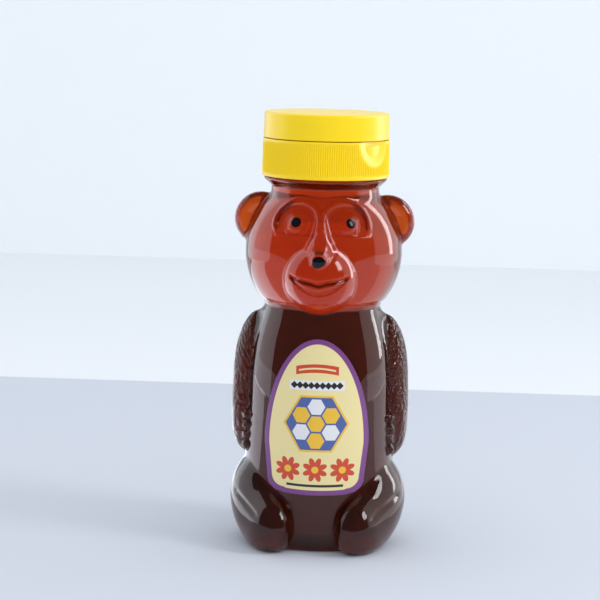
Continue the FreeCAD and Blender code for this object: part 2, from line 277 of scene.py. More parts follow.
COOL = (0.92, 0.94, 1.0)
WARM = (1, 0.95, 0.93)
SKY = (0.95, 0.97, 1.0)
SIDE_PANEL = ((0.42, 0.22, 0.3), (0.62, 0.62))
SIDE_BRIGHTNESS = (1.4, 1.0)
FLOOR_PANEL = ((0.24, 0.14, 0.004), (0.36, 0.28))
FLOOR_BRIGHTNESS = (1.9, 0.7)
STRIP_LAMP = ((0.40, 0.18, 0.3), (0, 0, 0.15), (0.08, 0.5), 7.0)
WINDOW_LAMP = ((0.645, -0.21, 0.52), (0, 0, 0.1), (0.2, 0.34), 9.0)

# The camera, in metres, degrees and, for its lens, millimetres

CAMERA_SENSOR = 36
CAMERA_LENS = 128.1
CAMERA_DISTANCE = 0.7614
CAMERA_HEIGHT = 0.1966
CAMERA_SIDE = 2.75
CAMERA_YAW = 3.36
CAMERA_PITCH = 8.18
CAMERA_ROLL = 1.35

# Colours of the room, its light, and how bright it is in reflections

PAPER = (0.62, 0.66, 0.74)
TABLE = (0.84, 0.87, 0.91)
BACKDROP = (0.88, 0.92, 0.95)
ROOM_LIGHT = 1.02
ROOM_MIRRORED = 0.12
LIGHT_BOUNCES = 32


# Colours and finishes


def principled(name, colour, roughness, **sockets):
    """A material made of one Principled shader, with its values set on the sockets."""
    material = bpy.data.materials.new(name)
    material.use_nodes = True
    shader = material.node_tree.nodes["Principled BSDF"]
    shader.inputs["Base Color"].default_value = (*colour, 1)
    shader.inputs["Roughness"].default_value = roughness
    for socket, value in sockets.items():
        shader.inputs[socket.replace("_", " ")].default_value = value
    return material


def clear(name, bending, roughness=0.0):
    """A clear material that bends light by its index, or not at all where the index is 1."""
    return principled(name, (1, 1, 1), roughness, Transmission_Weight=1.0, IOR=bending)


def honey(name, colour, clearness, density, tint):
    """Cloudy honey: its skin has a colour, and light fades along its way through it."""
    material = principled(name, colour, 0.0, Transmission_Weight=clearness, IOR=1.0)
    nodes = material.node_tree.nodes
    fading = nodes.new("ShaderNodeVolumeAbsorption")
    fading.inputs["Color"].default_value = (*tint, 1)
    fading.inputs["Density"].default_value = density
    material.node_tree.links.new(fading.outputs[0], nodes["Material Output"].inputs["Volume"])
    return material


def grained(material, scale, depth, attribute=None):
    """The material with a fine relief, everywhere or as strong as an attribute of the mesh."""
    nodes, links = material.node_tree.nodes, material.node_tree.links
    place = nodes.new("ShaderNodeTexCoord")
    grain = nodes.new("ShaderNodeTexNoise")
    grain.inputs["Scale"].default_value = scale
    grain.inputs["Detail"].default_value = GRAIN_DETAIL
    bump = nodes.new("ShaderNodeBump")
    bump.inputs["Strength"].default_value = GRAIN_STRENGTH
    bump.inputs["Distance"].default_value = depth * MM
    links.new(place.outputs["Object"], grain.inputs["Vector"])
    relief = grain.outputs[0]
    if attribute:
        amount = nodes.new("ShaderNodeAttribute")
        amount.attribute_name = attribute
        height = nodes.new("ShaderNodeMath")
        height.operation = "MULTIPLY"
        links.new(relief, height.inputs[0])
        links.new(amount.outputs["Fac"], height.inputs[1])
        relief = height.outputs[0]
    links.new(relief, bump.inputs["Height"])
    links.new(bump.outputs[0], nodes["Principled BSDF"].inputs["Normal"])
    return material


def printed(name, colour):
    """Ink on the label's film: even colour under a thin gloss, with a faint grain."""
    return grained(principled(name, colour, 0.38, Coat_Weight=0.3, Coat_Roughness=0.15), 1500, 0.02)


clear_plastic = grained(clear("clear_plastic", 1.5, 0.02), 700, 1.2, "fur")
wet_wall = clear("wet_wall", 1.0)
# The honey is one honey drawn as two copies: the head's brighter, clearer orange is painted backlight, and
# the body's darker, cloudier brown is painted shade.
honey_painted_lit = honey("honey_painted_lit", (0.88, 0.15, 0.012), 0.75, 41.0, (0.86, 0.2, 0.0))
honey_painted_shade = honey("honey_painted_shade", (0.27, 0.036, 0.012), 0.6, 37.0, (0.3, 0.12, 0.0))
cap_yellow = grained(principled("cap_yellow", (0.98, 0.69, 0.0), 0.3), 400, 0.06)
plain_ink = principled("ink_black", (0.004, 0.004, 0.006), 0.12, Specular_IOR_Level=0.3)
ink_black = grained(plain_ink, 2500, 0.004)
liner_white = grained(principled("liner_white", (0.8, 0.8, 0.77), 0.8), 1800, 0.2)
label_cream = printed("label_cream", (0.82, 0.7, 0.34))
label_purple = printed("label_purple", (0.19, 0.05, 0.23))
label_red = printed("label_red", (0.62, 0.06, 0.02))
label_gold = printed("label_gold", (0.84, 0.5, 0.03))
label_blue = printed("label_blue", (0.07, 0.12, 0.36))
label_white = printed("label_white", (0.76, 0.77, 0.8))
label_black = printed("label_black", (0.02, 0.018, 0.02))


# Meshes


def new_object(name, vertices, faces, materials, index=None, scale=MM, sharp=40):
    """A smooth mesh object, from points in millimetres unless another scale is given."""
    mesh = bpy.data.meshes.new(name)
    mesh.from_pydata((np.asarray(vertices) * scale).tolist(), [], [list(face) for face in faces])
    for material in materials:
        mesh.materials.append(material)
    if index is not None:
        mesh.polygons.foreach_set("material_index", np.asarray(index, np.int32))
    mesh.shade_smooth()
    mesh.set_sharp_from_angle(angle=math.radians(sharp))
    mesh.update()
    thing = bpy.data.objects.new(name, mesh)
    bpy.context.scene.collection.objects.link(thing)
    return thing


def stand_for(thing, node, body):
    """Puts a drawn piece in the place of a CAD node."""
    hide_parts(node)
    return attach(thing, body)


def natural_curve(heights, values):
    """A smooth curve through the values, sampled finely, as a function of height."""
    heights = np.asarray(heights, float)
    values = np.asarray(values, float)
    gaps = np.diff(heights)
    count = len(heights)
    system = np.eye(count)
    target = np.zeros(count)
    for i in range(1, count - 1):
        system[i, i - 1] = gaps[i - 1]
        system[i, i] = 2 * (gaps[i - 1] + gaps[i])
        system[i, i + 1] = gaps[i]
        rise = (values[i + 1] - values[i]) / gaps[i] - (values[i] - values[i - 1]) / gaps[i - 1]
        target[i] = 6 * rise
    bend = np.linalg.solve(system, target)
    fine = np.linspace(heights[0], heights[-1], CURVE_SAMPLES)
    piece = np.clip(np.searchsorted(heights, fine) - 1, 0, count - 2)
    gap = gaps[piece]
    after = heights[piece + 1] - fine
    before = fine - heights[piece]
    table = bend[piece] * after**3 / (6 * gap) + bend[piece + 1] * before**3 / (6 * gap)
    table += (values[piece] / gap - bend[piece] * gap / 6) * after
    table += (values[piece + 1] / gap - bend[piece + 1] * gap / 6) * before
    return lambda height: np.interp(height, fine, table)


def sample_field(field, axes, step, block=4):
    """The field on a grid, worked out point by point only near its zero surface."""
    middles = [axis[::block] + (block - 1) / 2 * step for axis in axes]
    grid = np.stack(np.meshgrid(*middles, indexing="ij"), -1)
    values = field(grid.reshape(-1, 3)).reshape(grid.shape[:3])
    for k in range(3):
        values = np.repeat(values, block, axis=k)
    values = values[: len(axes[0]), : len(axes[1]), : len(axes[2])]
    near = np.argwhere(np.abs(values) < block * step)
    points = np.stack([axis[near[:, k]] for k, axis in enumerate(axes)], -1)
    values[tuple(near.T)] = field(points)
    return values


def surface_points(values, cells, corners):
    """The mean of the places where the surface crosses the edges of each cell, in cells."""
    total = np.zeros((len(cells), 3))
    number = np.zeros(len(cells))
    for start in corners:
        for axis in range(3):
            if start[axis]:
                continue
            end = tuple(1 if k == axis else start[k] for k in range(3))
            a = values[tuple((cells + start).T)]
            b = values[tuple((cells + end).T)]
            crosses = (a < 0) != (b < 0)
            spot = np.tile(np.array(start, float), (len(cells), 1))
            spot[:, axis] = np.where(crosses, a / np.where(crosses, a - b, 1), 0)
            total += spot * crosses[:, None]
            number += crosses
    return cells + total / number[:, None]


def surface_quads(inside, lookup):
    """A quad round each edge of the grid that the surface crosses."""
    quads = []
    for axis in range(3):
        u, v = (axis + 1) % 3, (axis + 2) % 3
        low_side = [slice(0, -1) if k == axis else slice(1, -1) for k in range(3)]
        high_side = [slice(1, None) if k == axis else slice(1, -1) for k in range(3)]
        starts = inside[tuple(low_side)]
        ends = inside[tuple(high_side)]
        for flip in (False, True):
            at = np.argwhere((~starts & ends) if flip else (starts & ~ends))
            at[:, u] += 1
            at[:, v] += 1
            ring = []
            for du, dv in ((-1, -1), (0, -1), (0, 0), (-1, 0)):
                cell = at.copy()
                cell[:, u] += du
                cell[:, v] += dv
                ring.append(lookup[tuple(cell.T)])
            ring = np.stack(ring, -1)
            quads.append(ring[:, ::-1] if flip else ring)
    return np.concatenate(quads)


def settle(field, points, limit, reach=0.05, flattest=0.05):
    """The points moved onto the field's zero surface."""
    here = field(points)
    steep = np.stack([(field(points + reach * axis) - here) / reach for axis in np.eye(3)], -1)
    size = np.maximum((steep**2).sum(-1), flattest)
    move = np.clip(here / size, -limit, limit)
    return points - move[:, None] * steep


def mesh_field(field, low, high, step):
    """Vertices and quads of the surface where a field that is even in x is zero."""
    half = np.arange(0, high[0] + step, step)
    axes = [half, np.arange(low[1], high[1] + step, step), np.arange(low[2], high[2] + step, step)]
    values = sample_field(field, axes, step)
    values = np.concatenate([values[:0:-1], values])
    origin = np.array([-half[-1], axes[1][0], axes[2][0]])
    inside = values < 0
    corners = [(a, b, c) for a in (0, 1) for b in (0, 1) for c in (0, 1)]
    size = np.array(values.shape) - 1
    within = np.zeros(size, np.int8)
    for a, b, c in corners:
        within += inside[a : a + size[0], b : b + size[1], c : c + size[2]]
    cells = np.argwhere((within > 0) & (within < len(corners)))
    lookup = np.full(size, -1, np.int64)
    lookup[tuple(cells.T)] = np.arange(len(cells))
    vertices = origin + surface_points(values, cells, corners) * step
    for _ in range(2):
        vertices = settle(field, vertices, step)
    return vertices, surface_quads(inside, lookup)


# Fields of the bear


def ball(points, centre, radii):
    """Distance to an ellipsoid, close near its surface."""
    q = (points - np.array(centre)) / np.array(radii)
    k0 = np.sqrt((q**2).sum(-1))
    k1 = np.sqrt(((q / np.array(radii)) ** 2).sum(-1))
    return k0 * (k0 - 1) / np.maximum(k1, 1e-6)


def turned_ball(points, centre, radii, angle, first, second):
    """An ellipsoid turned about its centre in the plane of two axes."""
    turn = math.radians(angle)
    q = points - np.array(centre)
    local = q.copy()
    local[:, first] = q[:, first] * math.cos(turn) + q[:, second] * math.sin(turn)
    local[:, second] = q[:, second] * math.cos(turn) - q[:, first] * math.sin(turn)
    return ball(local, (0, 0, 0), radii)


def join(a, b, blend):
    """Both forms, with a fillet of about the blend's size."""
    near = np.maximum(blend - np.abs(a - b), 0) / blend
    return np.minimum(a, b) - near**2 * blend / 4


def keep(a, b, blend):
    """What lies in both forms, with a rounded edge."""
    return -join(-a, -b, blend)


def tube(points, radius, low, high):
    """Distance to a cylinder about the Z axis."""
    out = np.hypot(points[:, 0], points[:, 1]) - radius
    return np.maximum(out, np.maximum(low - points[:, 2], points[:, 2] - high))


def fade(value, start, end):
    """Goes smoothly from 0 at start to 1 at end."""
    part = np.clip((value - start) / (end - start), 0, 1)
    return part * part * (3 - 2 * part)


def swell(distance, width):
    """A round hill of height 1 and about the given half width."""
    return np.exp(-((distance / width) ** 2))


def eye_seat():
    """The point of the head under the left eye and the way the eye looks."""
    (_, _, head_z), (wide, deep, _) = HEAD
    rise = EYE_Z - head_z
    y = -deep * math.sqrt(1 - (EYE_X**2 + rise**2) / wide**2)
    look = np.array([EYE_X / wide**2, y / deep**2, rise / wide**2])
    return np.array([EYE_X, y, EYE_Z]), look / np.linalg.norm(look)


torso_radius = natural_curve(TORSO_HEIGHTS, TORSO_RADII)
EYE_SEAT, EYE_LOOK = eye_seat()
EYE_CENTRE = EYE_SEAT - EYE_LOOK * (EYE_RADIUS - EYE_PROUD)


def torso_field(points):
    """The trunk, a little flatter from front to back than it is wide."""
    x, y, z = points.T
    side = (np.hypot(x, y / TORSO_DEPTH) - torso_radius(z)) * TORSO_SLOPE
    return keep(side, z - TORSO_HEIGHTS[-1], TORSO_EDGE)


def mouth_depth(points):
    """How deep the lips' lines are pressed in, less the swelling of the lower lip."""
    x, y, z = points.T
    upper = z - UPPER_LIP[0] - UPPER_LIP[1] * x**2 + CUPID_BOW[0] * swell(x, CUPID_BOW[1])
    lower = z - LOWER_LIP[0] - LOWER_LIP[1] * x**2
    wide = fade(x, MOUTH_HALF + MOUTH_END[0], MOUTH_HALF + MOUTH_END[1]) * (y < MUZZLE[0][1])
    line = UPPER_LINE[0] * swell(upper, UPPER_LINE[1]) + LOWER_LINE[0] * swell(lower, LOWER_LINE[1])
    lip = LIP_SWELL[0] * swell((upper + lower) / 2, LIP_SWELL[1])
    lip *= fade(x, MOUTH_HALF + LIP_END[0], MOUTH_HALF + LIP_END[1])
    return wide * (line - lip)


def face_field(points):
    """Head, sockets, muzzle, bridge of the nose, eyes and mouth."""
    height, depth, width = CHIN_GROOVE
    head = ball(points, *HEAD) + depth * swell(points[:, 2] - height, width)
    rise = (points - EYE_SEAT) @ EYE_LOOK
    out = rise + SOCKET_DEPTH
    away = np.linalg.norm(points - EYE_SEAT - rise[:, None] * EYE_LOOK, axis=-1)
    socket = keep(-out, SOCKET_FLOOR - points[:, 2], SOCKET_EDGE)
    face = keep(head, -socket, SOCKET_FILLET)
    brow_size = BROW_SIZE * fade(points[:, 2], SOCKET_FLOOR, SOCKET_FLOOR + BROW_FADE)
    brow = np.hypot(away - BROW_RADIUS, out) - brow_size
    face = join(face, brow, BROW_FILLET)
    nose = join(ball(points, *NOSE_PAD), ball(points, *NOSE), NOSE_FILLET)
    bridge = join(ball(points, *BRIDGE), nose, BRIDGE_FILLET)
    face = join(face, bridge, FACE_FILLET)
    face = join(face, ball(points, *MUZZLE), MUZZLE_FILLET)
    eye = np.linalg.norm(points - EYE_CENTRE, axis=-1) - EYE_RADIUS
    face = join(face, eye, EYE_FILLET)
    rim = np.hypot(away - EYE_RIM, out) - EYE_RIM_SIZE
    face = join(face, rim, EYE_FILLET)
    dimple = np.linalg.norm(points - np.array(DIMPLE), axis=-1)
    return face + DIMPLE_SIZE[0] * swell(dimple, DIMPLE_SIZE[1]) + mouth_depth(points)


def ear_field(points):
    """An ear with a dish in its front."""
    return keep(ball(points, *EAR), -ball(points, *EAR_DISH), EAR_EDGE)


def fur_relief(points):
    """The height of the short wavy strokes of fur above the hand."""
    x, y, z = points.T
    (middle_x, middle_y, _), (radius, _, _) = UPPER_ARM
    turn = np.arctan2(y - middle_y, x - middle_x) * radius
    width, length = FUR_STROKE
    across = np.sin(2 * math.pi * turn / width + FUR_SWAY[0] * np.sin(z / FUR_SWAY[1]))
    along = np.sin(2 * math.pi * z / length + FUR_BREAK[0] * np.sin(turn / FUR_BREAK[1]))
    return FUR_DEPTH * across * along * fade(z, *FUR_END)


def arm_field(points):
    """A furry arm and the fingers at its inner edge."""
    upper = turned_ball(points, *UPPER_ARM, UPPER_ARM_LEAN, 0, 2)
    arm = join(upper, ball(points, *FOREARM), ELBOW_FILLET)
    arm = keep(arm, points[:, 0] - ARM_REACH, ARM_EDGE) - fur_relief(points)
    (x, y, z), radii = FINGER
    for number in range(FINGER_COUNT):
        arm = join(arm, ball(points, (x, y, z + number * FINGER_PITCH), radii), FINGER_FILLET)
    return arm


def leg_field(points):
    """A thigh and a foot, with the crease of the knee between them."""
    thigh = ball(points, *THIGH)
    foot = turned_ball(points, *FOOT, -FOOT_TURN, 0, 1)
    start, end = np.array(KNEE_CREASE)
    along = end - start
    part = np.clip((points[:, ::2] - start) @ along / (along @ along), 0, 1)
    away = np.linalg.norm(points[:, ::2] - start - part[:, None] * along, axis=-1)
    crease = KNEE_CREASE_SIZE[0] * swell(away, KNEE_CREASE_SIZE[1]) * (points[:, 1] < 0)
    return join(thigh, foot, KNEE_FILLET) + crease


def bear_field(points):
    """The outside of the bear below the neck."""
    points = np.column_stack([np.abs(points[:, 0]), points[:, 1:]])
    fillet = ARM_FILLET + SHOULDER_FILLET * fade(points[:, 2], *SHOULDER_HEIGHTS)
    trunk = join(torso_field(points), arm_field(points), fillet)
    trunk = join(trunk, leg_field(points), HIP_FILLET)
    face = join(face_field(points), ear_field(points), EAR_FILLET)
    bear = join(trunk, face, CHIN_FILLET)
    bear = keep(bear, -points[:, 2], BASE_EDGE)
    ring, radius, height = BASE_GROOVE
    out = np.hypot(points[:, 0], points[:, 1]) - ring
    return keep(bear, radius - np.hypot(out, points[:, 2] - height), GROOVE_EDGE)


def neck_field(points):
    """The outside of the neck, its bead and its mouth."""
    radius = np.hypot(points[:, 0], points[:, 1])
    z = points[:, 2]
    below = np.maximum(radius - NECK_RADIUS, np.maximum(NECK_BOTTOM - z, z - BEAD_TOP + BEAD_EDGE))
    taper = (BEAD_RADIUS - NECK_RADIUS) / (BEAD_TOP - BEAD_EDGE - BEAD_FOOT)
    cone = (radius - NECK_RADIUS - (z - BEAD_FOOT) * taper) / math.hypot(1, taper)
    side = keep(cone, radius - BEAD_RADIUS, BEAD_ROUND)
    bead = keep(side, np.maximum(BEAD_FOOT - z, z - BEAD_TOP), BEAD_ROUND)
    finish = np.maximum(keep(radius - FINISH_RADIUS, z - RIM_HEIGHT, RIM_EDGE), BEAD_FOOT - z)
    return np.minimum(np.minimum(below, bead), finish)


def outside_field(points):
    """The outside of the whole bottle."""
    return join(bear_field(points), neck_field(points), NECK_FILLET)


def room_field(points, wall):
    """The room inside the bear, its throat and its mouth."""
    bear = np.maximum(bear_field(points) + wall, points[:, 2] - BEAD_FOOT)
    throat = tube(points, NECK_RADIUS - wall, NECK_BOTTOM, THROAT_ROOF + WALL - wall)
    mouth = tube(points, MOUTH_RADIUS + WALL - wall, NECK_BOTTOM, RIM_HEIGHT + BEAD_FOOT)
    return np.minimum(join(bear, throat, THROAT_FILLET), mouth)


def bottle_field(points):
    """The wall between the outside and the room inside."""
    return np.maximum(outside_field(points), -room_field(points, WALL))


def make_bottle():
    """The clear wall. Its inner face lets light pass straight where honey wets it."""
    vertices, quads = mesh_field(bottle_field, *BOTTLE_SPACE, BOTTLE_STEP)
    middle = vertices[quads].mean(1)
    outer = np.abs(outside_field(middle)) < WALL / 3
    wet = ~outer & (middle[:, 2] < FILL_HEIGHT)
    bottle = new_object("bear_bottle", vertices, quads, [clear_plastic, wet_wall], wet, sharp=180)
    right = np.column_stack([np.abs(vertices[:, 0]), vertices[:, 1:]])
    fur = fade(arm_field(right), *FUR_REACH)
    fur *= np.abs(outside_field(vertices)) < WALL / 3
    bottle.data.attributes.new("fur", "FLOAT", "POINT").data.foreach_set("value", fur)
    return stand_for(bottle, "bottle", "bottle")


def make_thread():
    """The screw thread that stands out from the neck and tapers at both ends."""
    low, high = THREAD_HEIGHTS
    root, crest = THREAD_RADII
    points = []
    for part in np.linspace(0, 1, THREAD_STATIONS):
        height = low + (high - low) * part
        turn = 2 * math.pi * (height - low) / THREAD_PITCH
        share = float(fade(min(part, 1 - part), 0, THREAD_TAPER))
        depth = (crest - root) * max(share, THREAD_TIP)
        for out, up in THREAD_SECTION:
            radius = root + depth * out
            points.append((radius * math.cos(turn), radius * math.sin(turn), height + up))
    size = len(THREAD_SECTION)
    faces = grid_quads(THREAD_STATIONS, size, False, True).tolist()
    last = len(points) - size
    faces += [list(range(size))[::-1], list(range(last, last + size))]
    thread = new_object("neck_thread", points, faces, [clear_plastic], sharp=60)
    return stand_for(thread, "bottle", "bottle")


def make_honey(name, material, bottom, top):
    """Part of the honey between two heights, sunk a little into the wall that it wets."""

    def field(points):
        level = np.maximum(bottom - points[:, 2], points[:, 2] - top)
        return np.maximum(room_field(points, HONEY_WALL), level)

    vertices, quads = mesh_field(field, *BOTTLE_SPACE, HONEY_STEP)
    piece = new_object(name, vertices, quads, [material], sharp=180)
    return stand_for(piece, "honey_fill", "bottle")


# Label


def label_edge(margin):
    """Points round the label, drawn in from its edge by a margin."""
    wide = LABEL_HALF - margin
    tall = LABEL_TOP - margin - LABEL_SHOULDER
    points = []
    for angle in np.linspace(0, math.pi, ARCH_POINTS):
        points.append((wide * math.cos(angle), LABEL_SHOULDER + tall * math.sin(angle)))
    corner = LABEL_CORNER - margin / 2
    foot = wide - LABEL_DRAW
    bottom = LABEL_BOTTOM + margin
    for side, start in ((-1, math.pi), (1, 1.5 * math.pi)):
        middle = side * (foot - corner)
        for angle in np.linspace(start, start + math.pi / 2, CORNER_POINTS):
            height = bottom + LABEL_SAG + corner * (1 + math.sin(angle))
            points.append((middle + corner * math.cos(angle), height))
        if side < 0:
            for x in np.linspace(middle + LABEL_FOOT_GAP, -middle - LABEL_FOOT_GAP, FOOT_POINTS):
                points.append((x, bottom + LABEL_SAG * (x / foot) ** 2))
    return points


def polygon(centre, radius, sides, turn=0.0, squeeze=1.0):
    """A regular polygon, as a list of points. The squeeze narrows it across its turn."""
    points = []
    for number in range(sides):
        angle = 2 * math.pi * number / sides
        along, across = radius * math.cos(angle), squeeze * radius * math.sin(angle)
        x = along * math.cos(turn) - across * math.sin(turn)
        z = along * math.sin(turn) + across * math.cos(turn)
        points.append((centre[0] + x, centre[1] + z))
    return points


def bar(centre, width, height, bow=0.0):
    """A band whose ends droop by the bow."""
    xs = np.linspace(-width / 2, width / 2, BAR_POINTS)
    droop = [centre[1] - bow * (2 * x / width) ** 2 for x in xs]
    upper = [(centre[0] + x, z + height / 2) for x, z in zip(xs, droop)]
    lower = [(centre[0] + x, z - height / 2) for x, z in zip(xs, droop)]
    return upper + lower[::-1]


def flower(centre, petals, reach, size):
    """Petals round a gold middle."""
    areas = []
    for number in range(petals):
        angle = 2 * math.pi * (number + 0.5) / petals
        spot = (centre[0] + reach * math.cos(angle), centre[1] + reach * math.sin(angle))
        areas.append((polygon(spot, size, PETAL_POINTS, angle, PETAL_SQUEEZE), label_red))
    areas.append((polygon(centre, size * FLOWER_MIDDLE, MIDDLE_POINTS), label_gold))
    return areas


def honeycomb(centre, size):
    """Seven cells in a six-sided frame."""
    areas = [(polygon(centre, size, 6), label_gold), (polygon(centre, size * COMB_FRAME, 6), label_blue)]
    areas.append((polygon(centre, size * CELL_SIZE, 6), label_gold))
    reach = CELL_REACH * size
    for number in range(6):
        angle = math.pi / 6 + number * math.pi / 3
        spot = (centre[0] + reach * math.cos(angle), centre[1] + reach * math.sin(angle))
        areas.append((polygon(spot, size * CELL_SIZE, 6), label_white if number % 2 else label_gold))
    return areas


def diamond_strip(centre, count, pitch, size):
    """A white strip with a row of black diamonds."""
    areas = [(bar(centre, count * pitch + size, STRIP_TALL * size), label_white)]
    for number in range(count):
        x = centre[0] + (number - (count - 1) / 2) * pitch
        areas.append((polygon((x, centre[1]), size, 4), label_black))
    return areas


def label_design():
    """The printed areas from the ground up: an outline and a colour each."""
    areas = [(label_edge(0), label_purple), (label_edge(LABEL_BORDER), label_cream)]
    areas.append((bar((0, TITLE_HEIGHT), *TITLE_BAR), label_red))
    areas.append((bar((0, TITLE_HEIGHT), *TITLE_GAP), label_cream))
    areas += diamond_strip((0, STRIP_HEIGHT), *STRIP_DIAMONDS)
    areas += honeycomb((0, COMB_HEIGHT), COMB_SIZE)
    for side in (-1, 0, 1):
        areas += flower((side * FLOWER_PITCH, FLOWER_HEIGHT), *FLOWER_PETALS)
    areas.append((bar((0, FOOT_LINE_HEIGHT), *FOOT_LINE), label_black))
    return areas


def inside_outline(outline, spots):
    """Which spots lie inside an outline."""
    answer = np.zeros(len(spots), bool)
    x, z = spots.T
    for (x1, z1), (x2, z2) in zip(outline, outline[1:] + outline[:1]):
        if z1 == z2:
            continue
        spans = (z1 > z) != (z2 > z)
        answer ^= spans & (x < (x2 - x1) * (z - z1) / (z2 - z1) + x1)
    return answer


def divided(outline, step):
    """The outline with points along its longer edges, so that it can bend round the belly."""
    points = []
    for start, end in zip(outline, outline[1:] + outline[:1]):
        start, end = np.array(start), np.array(end)
        count = max(1, math.ceil(np.linalg.norm(end - start) / step))
        points += [tuple(start + (end - start) * part / count) for part in range(count)]
    return points


def flat_label(areas):
    """Points and triangles of the flat label, with every printed outline among their edges."""
    border = areas[0][0]
    points = []
    edges = []
    for outline, _ in areas:
        first = len(points)
        points += [Vector(point) for point in outline]
        count = len(outline)
        edges += [(first + i, first + (i + 1) % count) for i in range(count)]
    columns = np.arange(-LABEL_HALF, LABEL_HALF, LABEL_STEP)
    rows = np.arange(LABEL_BOTTOM, LABEL_TOP, LABEL_STEP)
    grid = np.array([(x, z) for x in columns for z in rows])
    points += [Vector(spot) for spot in grid[inside_outline(border, grid)].tolist()]
    flat, _, faces, _, _, _ = delaunay_2d_cdt(points, edges, [], 0, 1e-5)
    flat = np.array([tuple(point) for point in flat])
    faces = np.array(faces)
    return flat, faces[inside_outline(border, flat[faces].mean(1))]


def printed_colours(areas, spots):
    """The colours in use, and the number of the one that shows at each spot."""
    index = np.zeros(len(spots), int)
    colours = []
    for outline, colour in areas:
        if colour not in colours:
            colours.append(colour)
        index[inside_outline(outline, spots)] = colours.index(colour)
    return colours, index


def on_belly(flat):
    """The flat points bent round the belly, and the way the belly faces there."""
    x, z = flat.T
    radius = torso_radius(z)
    back = -TORSO_DEPTH * np.sqrt(radius**2 - x**2) - LABEL_GLUE
    lean = (torso_radius(z + 0.5) - torso_radius(z - 0.5)) * radius
    normals = np.column_stack([x, back / TORSO_DEPTH**2, -lean])
    normals /= np.linalg.norm(normals, axis=1)[:, None]
    return np.column_stack([x, back, z]), normals


def open_edges(faces):
    """The edges that belong to one triangle only."""
    edges = np.concatenate([faces[:, [0, 1]], faces[:, [1, 2]], faces[:, [2, 0]]])
    _, first, uses = np.unique(np.sort(edges, 1), axis=0, return_index=True, return_counts=True)
    return edges[first[uses == 1]]


def make_label():
    """The label: a printed face, a glued face and the edge of the film between them."""
    areas = [(divided(outline, LABEL_STEP), colour) for outline, colour in label_design()]
    flat, faces = flat_label(areas)
    colours, index = printed_colours(areas, flat[faces].mean(1))
    glued, normals = on_belly(flat)
    count = len(flat)
    rim = open_edges(faces)
    sides = np.column_stack([rim[:, ::-1], rim + count])
    vertices = np.concatenate([glued + LABEL_FILM * normals, glued])
    polygons = faces.tolist() + (faces[:, ::-1] + count).tolist() + sides.tolist()
    paper = np.full(len(faces) + len(sides), colours.index(label_white))
    label = new_object("belly_label", vertices, polygons, colours, np.concatenate([index, paper]), sharp=60)
    label.data.normals_split_custom_set_from_vertices(np.concatenate([normals, -normals]).tolist())
    return stand_for(label, "front_label", "bottle")


# Cap


def lathe(profile, columns, shape=None):
    """A surface turned about the Z axis. The shape may move its points."""
    profile = np.asarray(profile, float)
    rows = len(profile)
    turn = np.tile(np.linspace(0, 2 * math.pi, columns, endpoint=False), (rows, 1))
    radius = np.repeat(profile[:, :1], columns, 1)
    height = np.repeat(profile[:, 1:], columns, 1)
    if shape is not None:
        radius = shape(radius, height, turn)
    points = np.stack([radius * np.sin(turn), -radius * np.cos(turn), height], -1)
    return points.reshape(-1, 3), grid_quads(rows, columns, True, True)


def grid_quads(rows, columns, rows_close, columns_close):
    """The quads of a grid of points that may close on itself either way."""
    row = np.arange(rows if rows_close else rows - 1)[:, None]
    column = np.arange(columns if columns_close else columns - 1)[None, :]
    after = (row + 1) % rows
    beside = (column + 1) % columns
    here, there = row * columns, after * columns
    quads = [here + column, here + beside, there + beside, there + column]
    return np.stack(quads, -1).reshape(-1, 4)


def rounded(points, radii, steps=CORNER_STEPS):
    """A closed outline with its corners rounded."""
    answer = []
    count = len(points)
    for i in range(count):
        here = np.array(points[i], float)
        radius = radii.get(i, 0)
        if not radius:
            answer.append(here)
            continue
        back = np.array(points[i - 1], float) - here
        on = np.array(points[(i + 1) % count], float) - here
        back /= np.linalg.norm(back)
        on /= np.linalg.norm(on)
        for part in np.linspace(0, 1, steps + 1):
            answer.append(here + radius * (back * (1 - part) ** 2 + on * part**2))
    return answer


def split_rows(profile, first, step):
    """The outline with extra points between one of its corners and the next."""
    start, end = profile[first], profile[first + 1]
    count = max(2, int(np.linalg.norm(end - start) / step))
    extra = [start + (end - start) * part for part in np.linspace(0, 1, count + 1)[1:-1]]
    return profile[: first + 1] + extra + profile[first + 1 :]


def scoop_wall(height, turn):
    """How far out the wall stands in the thumb scoop."""
    across, deep, tall = SCOOP
    centre = CAP_RADIUS[1] + SCOOP_OUT
    up = 1 - ((height - PARTING) / tall) ** 2
    a = (np.sin(turn) / across) ** 2 + (np.cos(turn) / deep) ** 2
    b = -2 * centre * np.cos(turn) / deep**2
    c = (centre / deep) ** 2 - up
    root = b * b - 4 * a * c
    wall = (-b - np.sqrt(np.maximum(root, 0))) / (2 * a)
    return np.where((root > 0) & (np.cos(turn) > 0), wall, 2 * centre)


def hinge_cut(radius, turn):
    """The radius drawn in to the flat behind the hinge."""
    flat = HINGE_BACK / np.maximum(-np.cos(turn), HINGE_SIDE)
    return np.where(np.cos(turn) < -HINGE_SIDE, np.minimum(radius, flat), radius)


def skirt_shape(radius, height, turn):
    """Ribs, thumb scoop and the flat for the hinge on the outside of the cap."""
    low, high = CAP_BOTTOM + RIB_MARGINS[0], PARTING - RIB_MARGINS[1]
    band = fade(height, low - RIB_END, low + RIB_END) * fade(height, high + RIB_END, high - RIB_END)
    wall = radius - RIB_DEPTH * band * (0.5 - 0.5 * np.cos(RIB_COUNT * turn))
    wall = join(wall, scoop_wall(height, turn), SCOOP_FILLET)
    wall = np.where(height > PARTING - HINGE_FLAT, hinge_cut(wall, turn), wall)
    outside = (radius > CAP_RADIUS[1] - SKIRT_WALL / 2) & (height < PARTING + RIB_DEPTH)
    return np.where(outside, wall, radius)


def lid_shape(radius, height, turn):
    """The flat for the hinge on the outside of the lid."""
    outside = (radius > LID_RADIUS[1] - LID_WALL / 2) & (height < LID_BOTTOM + HINGE_FLAT)
    return np.where(outside, hinge_cut(radius, turn), radius)


